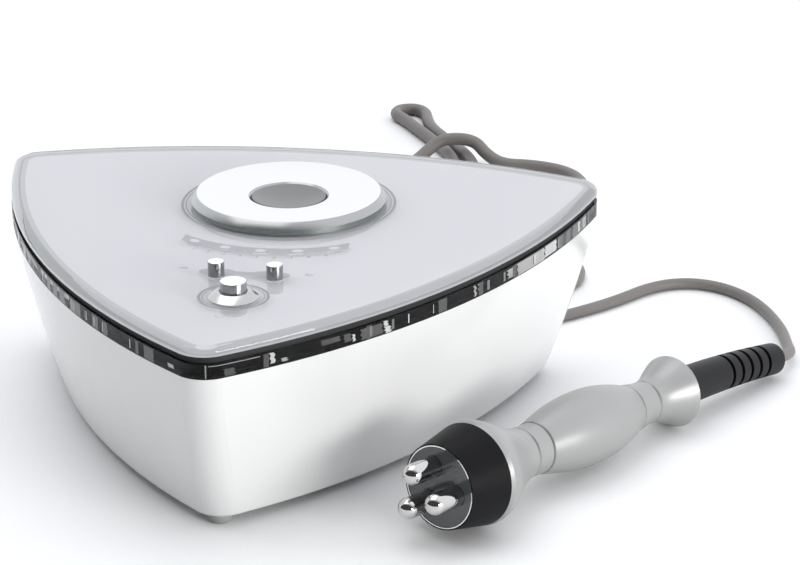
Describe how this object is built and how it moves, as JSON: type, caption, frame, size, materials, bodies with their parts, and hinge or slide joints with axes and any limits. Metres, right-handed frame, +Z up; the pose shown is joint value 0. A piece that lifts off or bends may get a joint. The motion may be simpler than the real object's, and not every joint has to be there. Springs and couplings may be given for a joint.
{
  "type": "radio frequency skin treatment unit",
  "caption": "Low desktop console shaped like a rounded triangle, with a round rest and push buttons on its lid, and a corded handpiece with domed electrode rods.",
  "frame": {"origin": "on the table, under the middle of the bounding box of console and handpiece, cords left out", "axes": "+Z up, +Y towards the back of the console, +X to the right, where the handpiece lies"},
  "size_m": [0.3874, 0.6018, 0.0983],
  "materials": {
    "shell_white": "gloss",
    "band_clear": "gloss, clear smoky acrylic",
    "gasket_black": "satin",
    "frame_dark": "moulded",
    "sheet_lavender": "printed film",
    "lid_clear": "gloss, clear acrylic",
    "rest_aluminium": "satin, anodised",
    "dish_grey": "satin",
    "control_chrome": "polished",
    "fixing_steel": "plated",
    "board_green": "circuit board",
    "switch_black": "moulded",
    "guide_clear": "clear",
    "core_steel": "laminated",
    "winding_copper": "enamelled",
    "sink_aluminium": "plain",
    "capacitor_black": "sleeved",
    "panel_grey": "moulded",
    "connector_black": "moulded",
    "foot_clear": "translucent",
    "hand_silver": "satin silver paint",
    "barrel_black": "satin",
    "trim_bright": "polished",
    "face_smoky": "gloss",
    "electrode_steel": "polished stainless steel",
    "carrier_white": "moulded",
    "relief_black": "satin",
    "cord_grey": "satin, warm grey",
    "plug_grey": "moulded"
  },
  "bodies": {
    "console": {"shell_tub": "shell_white", "side_band_right": "band_clear", "side_band_rear": "band_clear", "side_band_left": "band_clear", "band_gasket": "gasket_black", "carrier_deck": "frame_dark", "printed_sheet": "sheet_lavender", "lid_plate": "lid_clear", "rest_ring": "rest_aluminium", "rest_dish": "dish_grey", "rest_nut": "fixing_steel", "level_switches": "switch_black", "power_bezel": "rest_aluminium", "bezel_nut": "fixing_steel", "power_switch": "switch_black", "control_board": "board_green", "board_screws": "fixing_steel", "level_leds": "guide_clear", "light_guides": "guide_clear", "rf_board": "board_green", "rf_board_screws": "fixing_steel", "rf_core": "core_steel", "rf_coil": "winding_copper", "heat_sink": "sink_aluminium", "capacitors": "capacitor_black", "mains_core": "core_steel", "mains_coil": "winding_copper", "rear_panel": "panel_grey", "rear_panel_screws": "fixing_steel", "handpiece_socket": "connector_black", "socket_nut": "fixing_steel", "fuse_holder": "connector_black", "mains_gland": "connector_black", "rubber_feet": "foot_clear", "case_screws": "fixing_steel", "handpiece_cord": "cord_grey", "handpiece_cord_coil": "cord_grey", "handpiece_cord_tail": "cord_grey", "handpiece_plug": "connector_black", "mains_cord": "cord_grey", "mains_cord_coil": "cord_grey", "mains_cord_tail": "cord_grey", "mains_plug": "plug_grey"},
    "level_down": {"level_down_button": "control_chrome"},
    "level_up": {"level_up_button": "control_chrome"},
    "power": {"power_button": "control_chrome"},
    "handpiece": {"head_barrel": "barrel_black", "face_trim": "trim_bright", "face_plate": "face_smoky", "electrode_carrier": "carrier_white", "electrode_nuts": "fixing_steel", "front_cone": "hand_silver", "grip_shell": "hand_silver", "handle_board": "board_green", "tail_cone": "hand_silver", "tail_plug": "relief_black", "strain_relief": "relief_black", "electrode_1": "electrode_steel", "electrode_2": "electrode_steel", "electrode_3": "electrode_steel"}
  },
  "joints": [
    {"name": "level_down_press", "type": "slide", "parent": "console", "child": "level_down", "axis": [0, 0, -1], "range_m": [0, 0.0008], "stiffness_N_per_m": 400, "springref_m": -0.001},
    {"name": "level_up_press", "type": "slide", "parent": "console", "child": "level_up", "axis": [0, 0, -1], "range_m": [0, 0.0008], "stiffness_N_per_m": 400, "springref_m": -0.001},
    {"name": "power_press", "type": "slide", "parent": "console", "child": "power", "axis": [0, 0, -1], "range_m": [0, 0.002], "stiffness_N_per_m": 500, "springref_m": -0.001},
    {"name": "handpiece_lift", "type": "slide", "parent": "console", "child": "handpiece", "axis": [0, 0, 1], "range_m": [0, 0.06]}
  ]
}
